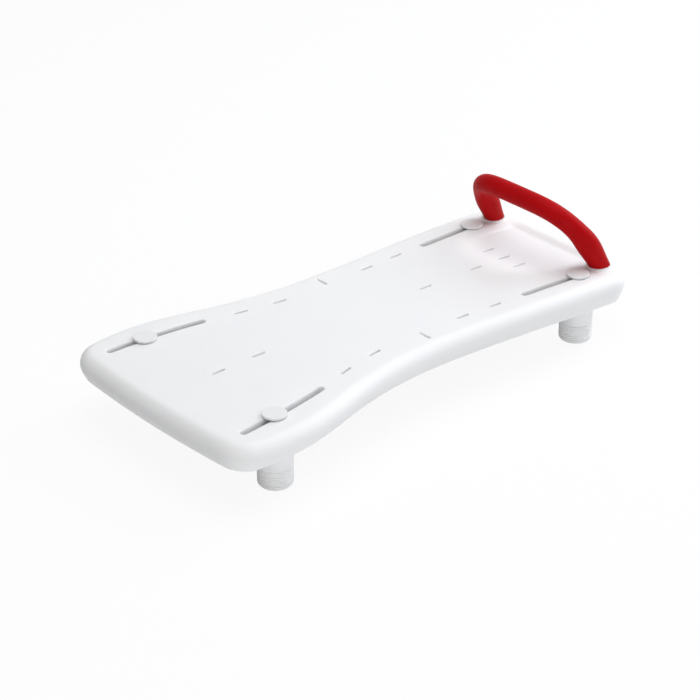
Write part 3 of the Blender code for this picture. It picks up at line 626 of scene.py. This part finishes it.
def foot_pads(work):
    """Low collars under the handle's feet, with a hollow slope round them."""
    pad = crown_height(HANDLE_X) + FOOT_PAD_RISE
    for sign in SIDES.values():
        rings = []
        for share in np.linspace(0, FOOT_PAD_OVERRUN, EDGE_STEPS):
            radius = FOOT_PAD_RADIUS + share**FOOT_PAD_HOLLOW * FOOT_PAD_SKIRT
            ring = circle((HANDLE_X, sign * HANDLE_HALF_SPAN), radius, ROUND_STEPS)
            rings.append(lifted(ring, pad - share * FOOT_PAD_RISE))
        rings.append(lifted(ring, pad - FOOT_PAD_RISE - SKIN))
        add_rings(work, rings)


def drain_holes(work):
    throat = DRAIN_WIDTH / 2 - DRAIN_MOUTH[0]
    for centre, heading in drains():
        step = (DRAIN_LENGTH - DRAIN_WIDTH) / 2 * np.array([math.cos(heading), math.sin(heading)])
        plan = slot_plan(centre - step, centre + step, throat, DRAIN_END_STEPS, bow_steps=2)
        add_rings(work, hole_rings(plan, mouth=DRAIN_MOUTH))


def leg_channels(work):
    for leg in LEGS:
        plan = slot_plan(*leg.travel, CHANNEL_RADIUS, CHANNEL_END_STEPS)
        add_rings(work, hole_rings(plan, high=leg.ceiling, fillet=2 * FILLET))


def tie_hollows(work):
    """Cones from the underside up to just under the seat."""
    for x in TIE_PLACES:
        top = crown_height(x) - SKIN
        share = (underside_height(x) - RAIL_HEIGHT) / (top - RAIL_HEIGHT)
        mouth = TIE_BASE_RADIUS + share * (TIE_TOP_RADIUS - TIE_BASE_RADIUS)
        for sign in SIDES.values():
            place = (x, sign * TIE_SPREAD)
            rings = [
                lifted(circle(place, mouth + 3 * FILLET), underside_at(-CLEAR)),
                lifted(circle(place, mouth + 3 * FILLET), underside_at(0)),
                lifted(circle(place, mouth + FILLET), underside_at(FILLET)),
                lifted(circle(place, mouth), underside_at(3 * FILLET)),
                lifted(circle(place, TIE_TOP_RADIUS), top - FILLET),
                lifted(circle(place, TIE_TOP_RADIUS - FILLET), top),
            ]
            add_rings(work, rings)


def round_holes(work):
    """The weep holes and the handle screws' counterbores."""
    step = crown_height(HANDLE_X) + FOOT_PAD_RISE - SOCKET_DROP
    for sign in SIDES.values():
        weep = round_plan((sign * WEEP_FROM_MIDDLE, 0.0), WEEP_RADIUS)
        add_rings(work, hole_rings(weep, high=SEAT_HEIGHT - WEEP_TOP_BELOW_SEAT))
        counterbore = round_plan((HANDLE_X, sign * HANDLE_HALF_SPAN), COUNTERBORE_RADIUS)
        add_rings(work, hole_rings(counterbore, high=step))


def open_holes(work):
    """The holes that open on the seat or the underside. They don't overlap each other."""
    drain_holes(work)
    leg_channels(work)
    tie_hollows(work)
    round_holes(work)


def inner_holes(work):
    """The clamp slots over the channels and the screw holes over the counterbores."""
    for leg in LEGS:
        plan = slot_plan(*leg.slot_ends, SLOT_WIDTH / 2, SLOT_END_STEPS, leg.bow)
        add_rings(work, hole_rings(plan, low=leg.below_ceiling, mouth=SLOT_MOUTH))
    low = crown_height(HANDLE_X) + FOOT_PAD_RISE - SOCKET_DROP - SKIN
    for sign in SIDES.values():
        ring = circle((HANDLE_X, sign * HANDLE_HALF_SPAN), SCREW_BORE_RADIUS)
        add_rings(work, [lifted(ring, low), lifted(ring, low + SCREW_BORE_LENGTH)])


def join(obj, operation, *tools):
    """Applies Booleans one after another and removes their tools."""
    for tool in tools:
        modifier = obj.modifiers.new(tool.name, "BOOLEAN")
        modifier.operation = operation
        modifier.solver = "EXACT"
        modifier.object = tool
    bpy.context.view_layer.update()
    graph = bpy.context.evaluated_depsgraph_get()
    obj.data = bpy.data.meshes.new_from_object(obj.evaluated_get(graph))
    obj.modifiers.clear()
    for tool in tools:
        bpy.data.objects.remove(tool, do_unlink=True)


def smooth(obj, angle=CREASE_ANGLE):
    obj.data.shade_smooth()
    obj.data.set_sharp_from_angle(angle=math.radians(angle))
    weighted = obj.modifiers.new("weighted", "WEIGHTED_NORMAL")
    weighted.keep_sharp = True
    weighted.weight = 100


def dress(obj, look, body, slot, *nodes):
    obj.data.materials.clear()
    obj.data.materials.append(look)
    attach(obj, body)
    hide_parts(*nodes)


class Nodes:
    """Short names for building one material's node tree."""

    def __init__(self, name):
        found = bpy.data.materials.new(name)
        found.use_nodes = True
        self.material = found
        self.tree = found.node_tree
        self.shader = self.tree.nodes["Principled BSDF"]
        self.place = self.add("ShaderNodeTexCoord").outputs["Object"]

    def add(self, kind, **settings):
        node = self.tree.nodes.new(kind)
        for key, value in settings.items():
            setattr(node, key, value)
        return node

    def link(self, source, target):
        self.tree.links.new(source, target)

    def noise(self, scale, detail=3.0, roughness=0.5, stretch=None):
        node = self.add("ShaderNodeTexNoise")
        node.inputs["Scale"].default_value = scale
        node.inputs["Detail"].default_value = detail
        node.inputs["Roughness"].default_value = roughness
        place = self.place
        if stretch:
            mapping = self.add("ShaderNodeMapping")
            mapping.inputs["Scale"].default_value = stretch
            self.link(self.place, mapping.inputs["Vector"])
            place = mapping.outputs["Vector"]
        self.link(place, node.inputs["Vector"])
        return node.outputs["Fac"]

    def spread(self, source, low, high, start=0.3, end=0.7):
        """The source's middle range, spread between two values."""
        node = self.add("ShaderNodeMapRange")
        node.inputs["From Min"].default_value = start
        node.inputs["From Max"].default_value = end
        node.inputs["To Min"].default_value = low
        node.inputs["To Max"].default_value = high
        self.link(source, node.inputs["Value"])
        return node.outputs["Result"]

    def blend(self, factor, first, second):
        node = self.add("ShaderNodeMix", data_type="RGBA")
        self.link(factor, node.inputs["Factor"])
        for value, target in ((first, node.inputs[6]), (second, node.inputs[7])):
            if isinstance(value, tuple):
                target.default_value = (*value, 1)
            else:
                self.link(value, target)
        return node.outputs[2]

    def bump(self, height, strength, distance, before=None):
        node = self.add("ShaderNodeBump")
        node.inputs["Strength"].default_value = strength
        node.inputs["Distance"].default_value = distance
        self.link(height, node.inputs["Height"])
        if before:
            self.link(before, node.inputs["Normal"])
        return node.outputs["Normal"]

    def finish(self, colour, roughness, normal, **values):
        self.link(colour, self.shader.inputs["Base Color"])
        self.link(roughness, self.shader.inputs["Roughness"])
        self.link(normal, self.shader.inputs["Normal"])
        for name, value in values.items():
            self.shader.inputs[name.replace("_", " ")].default_value = value
        return self.material


def moulded_plastic(name, colour, shade, low, high, grain=0.25, gloss=0.3, depth=0.006):
    """Satin moulded plastic with fine grain, faint flow mottling and light rubbing.

    Its roughness lies between low and high, and light goes into it as deep as depth.
    """
    nodes = Nodes(name)
    mottle = nodes.spread(nodes.noise(14, 4, 0.6), 0, 1)
    rubbed = nodes.spread(nodes.noise(60, 5, 0.65, (1, 3, 1)), low, high)
    wave = nodes.bump(nodes.noise(22, 2, 0.4), 0.12, 0.0006)
    fine = nodes.bump(nodes.noise(1500, 2, 0.5), grain, 0.00012, wave)
    colours = nodes.blend(mottle, colour, shade)
    nodes.shader.inputs["Subsurface Weight"].default_value = 1.0 if depth else 0.0
    nodes.shader.inputs["Subsurface Radius"].default_value = (1, 0.97, 0.94)
    nodes.shader.inputs["Subsurface Scale"].default_value = depth
    return nodes.finish(colours, rubbed, fine, Specular_IOR_Level=gloss)


def rubber(name, colour, shade):
    """Matt rubber with a dusty bloom."""
    nodes = Nodes(name)
    bloom = nodes.spread(nodes.noise(90, 5, 0.7), 0, 1)
    rough = nodes.spread(nodes.noise(300, 3, 0.6), 0.62, 0.82)
    fine = nodes.bump(nodes.noise(2200, 3, 0.6), 0.05, 0.00008)
    return nodes.finish(nodes.blend(bloom, colour, shade), rough, fine)


def metal(name, colour, shade, low, high):
    """Turned or plated metal with fine drawn lines."""
    nodes = Nodes(name)
    cloud = nodes.spread(nodes.noise(120, 4, 0.6), 0, 1)
    rough = nodes.spread(nodes.noise(500, 3, 0.6, (1, 1, 6)), low, high)
    lines = nodes.bump(nodes.noise(900, 2, 0.5, (1, 1, 8)), 0.3, 0.00008)
    return nodes.finish(nodes.blend(cloud, colour, shade), rough, lines, Metallic=1.0)


WHITE = moulded_plastic("white_plastic", (0.862, 0.863, 0.866), (0.85, 0.851, 0.854), 0.42, 0.55)
# The posts are the board's plastic, painted lighter here: painted light that makes up for the shade
# under the board
LEG_WHITE_PAINTED_LIGHT = moulded_plastic(
    "leg_plastic_painted_light", (0.92, 0.92, 0.922), (0.905, 0.905, 0.907), 0.40, 0.52, depth=0.002
)
CAP_WHITE = moulded_plastic(
    "cap_plastic", (0.81, 0.812, 0.816), (0.795, 0.797, 0.801), 0.38, 0.48, depth=0
)
RED = moulded_plastic(
    "red_plastic", (0.45, 0.004, 0.006), (0.40, 0.003, 0.005), 0.42, 0.52, 0.15, 0.04, depth=0
)
SLEEVE_RUBBER = rubber("foot_rubber", (0.93, 0.93, 0.93), (0.90, 0.90, 0.90))
STEEL = metal("stainless_steel", (0.60, 0.60, 0.61), (0.52, 0.52, 0.53), 0.24, 0.38)
ZINC = metal("zinc_plate", (0.62, 0.63, 0.65), (0.50, 0.51, 0.53), 0.32, 0.5)
BRASS = metal("brass", (0.72, 0.53, 0.24), (0.60, 0.43, 0.18), 0.28, 0.42)


def make_board():
    board = add_object("board_shell", board_form)
    join(board, "UNION", add_object("pads", foot_pads), add_object("rails", rails))
    cutters = [add_object("open_holes", open_holes), add_object("inner_holes", inner_holes)]
    join(board, "DIFFERENCE", *cutters)
    smooth(board)
    dress(board, WHITE, "board_body", "board_plastic", "board")


def handle_line():
    """Centres, directions and radii along the handle, from the front foot to the back one."""
    turn = np.linspace(0, math.pi, HANDLE_SAMPLES)
    power = 2 / HANDLE_SQUARENESS
    rise = HANDLE_HEIGHT * np.sin(turn) ** power
    rise[[0, -1]] = 0
    reach = HANDLE_HALF_SPAN - HANDLE_SPLAY * rise
    y = -reach * np.sign(np.cos(turn)) * np.abs(np.cos(turn)) ** power
    x = HANDLE_X - HANDLE_LEAN * rise - HANDLE_CURL * rise**2
    line = np.stack([x, y, crown_height(HANDLE_X) + FOOT_PAD_RISE + GAP + rise], 1)
    lengths = np.concatenate([[0], np.cumsum(np.linalg.norm(np.diff(line, axis=0), axis=1))])
    along = np.linspace(0, 1, HANDLE_STEPS + 1)
    along = lengths[-1] * (along - HANDLE_CROWDING * np.sin(2 * math.pi * along))
    centres = np.stack([np.interp(along, lengths, line[:, axis]) for axis in range(3)], 1)
    headings = np.gradient(centres, axis=0)
    headings /= np.linalg.norm(headings, axis=1)[:, None]
    from_foot = np.minimum(along, lengths[-1] - along)
    swell = SHOULDER_SWELL * np.exp(-(((from_foot - SHOULDER_ALONG) / SHOULDER_SPREAD) ** 2))
    return centres, headings, GRIP_RADIUS + swell


def handle_form(work):
    centres, headings, radii = handle_line()
    rings = []
    for centre, heading, radius in zip(centres, headings, radii):
        side = np.cross(heading, (1, 0, 0))
        side /= np.linalg.norm(side)
        other = np.cross(side, heading)
        ring = []
        for angle in np.arange(HANDLE_SIDES) * 2 * math.pi / HANDLE_SIDES:
            ring.append(centre + radius * (math.cos(angle) * side + math.sin(angle) * other))
        rings.append(np.array(ring))
    for end in (0, -1):
        drop = (rings[end][:, 2] - centres[end][2]) / headings[end][2]
        rings[end] = rings[end] - drop[:, None] * headings[end]
    add_rings(work, rings)


def make_handle():
    handle = add_object("grab_handle", handle_form)
    smooth(handle, ROUND_CREASE_ANGLE)
    dress(handle, RED, "board_body", "handle_plastic", "handle")


def rounded_rim(radius, top, edge):
    """The part of a turned profile that rounds its top edge, from the top outwards and down."""
    points = []
    for turn in np.radians(np.linspace(90, 0, RIM_STEPS + 1)):
        points.append((radius - edge * (1 - math.cos(turn)), top - edge * (1 - math.sin(turn))))
    return points


def make_cap(leg):
    """A flat disc with a softened top edge, undercut below, and hollowed for the bolt's head."""
    low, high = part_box(f"cap_{leg.name}")
    radius = (high[0] - low[0]) / 2
    profile = [(0, high[2])] + rounded_rim(radius, high[2], CAP_EDGE)
    profile += [
        (radius, low[2] + CAP_UNDERCUT),
        (radius - CAP_UNDERCUT, low[2]),
        (CAP_POCKET_RADIUS, low[2]),
        (CAP_POCKET_RADIUS, low[2] + CAP_POCKET_DEPTH),
        (0, low[2] + CAP_POCKET_DEPTH),
    ]
    cap = add_object(f"clamp_cap_{leg.name}", lambda work: add_turned(work, profile, leg.place))
    smooth(cap)
    dress(cap, CAP_WHITE, f"clamp_{leg.name}", "cap_plastic", f"cap_{leg.name}")


def make_post(leg):
    """The smooth upper part, bored from above for the bolt and its nut and hollowed from below."""
    low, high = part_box(f"post_{leg.name}")
    nut_low, nut_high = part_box(f"nut_{leg.name}")
    bore_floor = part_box(f"bolt_{leg.name}")[0][2] - BOLT_BORE_DEPTH
    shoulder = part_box(f"sleeve_{leg.name}")[1][2] + GAP
    core_top = low[2] + POST_CORE_DEPTH
    radius = (high[0] - low[0]) / 2
    pocket = (nut_high[0] - nut_low[0]) / 2 + NUT_CLEARANCE
    pocket_floor = nut_low[2] - GAP
    profile = [
        (0, bore_floor),
        (BOLT_BORE_RADIUS, bore_floor),
        (BOLT_BORE_RADIUS, pocket_floor),
        (pocket, pocket_floor),
        (pocket, high[2]),
    ]
    profile += rounded_rim(radius, high[2], POST_EDGE)
    profile += [
        (radius, shoulder + GAP),
        (radius - GAP, shoulder),
        (SPIGOT_RADIUS, shoulder),
        (SPIGOT_RADIUS, low[2]),
        (POST_CORE_RADIUS, low[2]),
        (POST_CORE_RADIUS, core_top),
        (0, core_top),
    ]
    post = add_object(f"leg_post_{leg.name}", lambda work: add_turned(work, profile, leg.place))
    smooth(post)
    # The post wears the board's plastic painted lighter, as painted light for the shade under the
    # board
    dress(post, LEG_WHITE_PAINTED_LIGHT, f"leg_{leg.name}", "board_plastic", f"post_{leg.name}")


def make_sleeve(leg):
    """A cup of rubber with ribs round its upper part and a rounded foot."""
    low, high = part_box(f"sleeve_{leg.name}")
    ridge = (high[0] - low[0]) / 2
    valley = ridge - RIB_DEPTH
    lip_low = high[2] - SLEEVE_LIP
    profile = [
        (0, SLEEVE_FLOOR),
        (SLEEVE_BORE_RADIUS, SLEEVE_FLOOR),
        (SLEEVE_BORE_RADIUS, lip_low),
        (SLEEVE_BORE_RADIUS + SLEEVE_LIP, high[2]),
        (valley - SLEEVE_LIP, high[2]),
        (valley, lip_low),
    ]
    for rib in range(SLEEVE_RIBS):
        for step in range(1, RIB_STEPS + 1):
            share = step / RIB_STEPS
            bulge = RIB_DEPTH * abs(math.sin(math.pi * share)) ** RIB_BLUNTNESS
            profile.append((valley + bulge, lip_low - (rib + share) * RIB_PITCH))
    for turn in np.radians(np.linspace(0, 90, EDGE_STEPS + 1)):
        reach = SLEEVE_FOOT_RADIUS + (ridge - SLEEVE_FOOT_RADIUS) * math.cos(turn)
        profile.append((reach, SLEEVE_FOOT_RISE * (1 - math.sin(turn))))
    profile.append((0, 0))
    sleeve = add_object(f"rubber_sleeve_{leg.name}", lambda work: add_turned(work, profile, leg.place))
    smooth(sleeve, ROUND_CREASE_ANGLE)
    dress(sleeve, SLEEVE_RUBBER, f"leg_{leg.name}", "foot_rubber", f"sleeve_{leg.name}")


def repaint(node, look):
    """A carried-over node's own material, made richer."""
    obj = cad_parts[node]
    for held in obj.material_slots:
        held.material = look
    if not obj.material_slots:
        obj.data.materials.append(look)


def repaint_metal():
    for leg in LEGS:
        repaint(f"bolt_{leg.name}", STEEL)
        repaint(f"washer_{leg.name}", ZINC)
        repaint(f"nut_{leg.name}", ZINC)
    for side in SIDES:
        repaint(f"handle_insert_{side}", BRASS)
        repaint(f"handle_washer_{side}", STEEL)
        repaint(f"handle_screw_{side}", STEEL)


def seen_directly(tree):
    """1 for rays from the camera and for rays that a glossy or clear surface sends on, else 0."""
    path = tree.nodes.new("ShaderNodeLightPath")
    found = path.outputs["Is Camera Ray"]
    for kind in ("Is Glossy Ray", "Is Transmission Ray"):
        either = tree.nodes.new("ShaderNodeMath")
        either.operation = "MAXIMUM"
        tree.links.new(found, either.inputs[0])
        tree.links.new(path.outputs[kind], either.inputs[1])
        found = either.outputs[0]
    return found


def floor_form(work):
    ends = (-FLOOR_REACH, FLOOR_REACH)
    add_grid(work, [[(x, y, -FLOOR_DROP) for y in ends] for x in ends])


def make_floor():
    """A pale floor that looks white and keeps part of the object's shadow."""
    floor = add_object("floor", floor_form)
    look = bpy.data.materials.new("floor")
    look.use_nodes = True
    tree = look.node_tree
    tree.nodes.clear()
    out = tree.nodes.new("ShaderNodeOutputMaterial")
    mix = tree.nodes.new("ShaderNodeMixShader")
    matt = tree.nodes.new("ShaderNodeBsdfDiffuse")
    glow = tree.nodes.new("ShaderNodeEmission")
    share = tree.nodes.new("ShaderNodeMath")
    matt.inputs["Color"].default_value = FLOOR_COLOUR
    glow.inputs["Strength"].default_value = 1
    share.operation = "MULTIPLY"
    share.inputs[1].default_value = FLOOR_WHITE_SHARE
    tree.links.new(seen_directly(tree), share.inputs[0])
    tree.links.new(share.outputs[0], mix.inputs[0])
    tree.links.new(matt.outputs[0], mix.inputs[1])
    tree.links.new(glow.outputs[0], mix.inputs[2])
    tree.links.new(mix.outputs[0], out.inputs["Surface"])
    floor.data.materials.append(look)


def make_world():
    """Soft light from all round, which the camera sees as plain white."""
    world = bpy.data.worlds.new("studio")
    bpy.context.scene.world = world
    world.use_nodes = True
    tree = world.node_tree
    tree.nodes.clear()
    out = tree.nodes.new("ShaderNodeOutputWorld")
    mix = tree.nodes.new("ShaderNodeMixShader")
    soft = tree.nodes.new("ShaderNodeBackground")
    white = tree.nodes.new("ShaderNodeBackground")
    soft.inputs["Color"].default_value = SKY_COLOUR
    soft.inputs["Strength"].default_value = SKY_STRENGTH
    white.inputs["Color"].default_value = (1, 1, 1, 1)
    tree.links.new(seen_directly(tree), mix.inputs[0])
    tree.links.new(soft.outputs[0], mix.inputs[1])
    tree.links.new(white.outputs[0], mix.inputs[2])
    tree.links.new(mix.outputs[0], out.inputs["Surface"])


def make_lamp(name, place, size, power, colour):
    """A round lamp, turned to the middle of the seat."""
    data = bpy.data.lights.new(name, "AREA")
    data.shape = "DISK"
    data.size = size
    data.energy = power
    data.color = colour
    lamp = bpy.data.objects.new(name, data)
    lamp.location = place
    heading = Vector((0, 0, SEAT_HEIGHT)) - Vector(place)
    lamp.rotation_euler = heading.to_track_quat("-Z", "Y").to_euler()
    bpy.context.scene.collection.objects.link(lamp)


def make_camera():
    data = bpy.data.cameras.new("camera")
    data.lens = CAMERA_LENS
    data.sensor_width = SENSOR
    camera = bpy.data.objects.new("camera", data)
    camera.location = CAMERA_PLACE
    camera.rotation_euler = Vector(CAMERA_HEADING).to_track_quat("-Z", "Y").to_euler()
    bpy.context.scene.collection.objects.link(camera)
    bpy.context.scene.camera = camera


make_camera()
make_world()
for name, lamp in LAMPS.items():
    make_lamp(name, *lamp)
make_floor()
make_board()
make_handle()
for leg in LEGS:
    make_cap(leg)
    make_post(leg)
    make_sleeve(leg)
repaint_metal()
bpy.context.scene.view_settings.view_transform = "Standard"
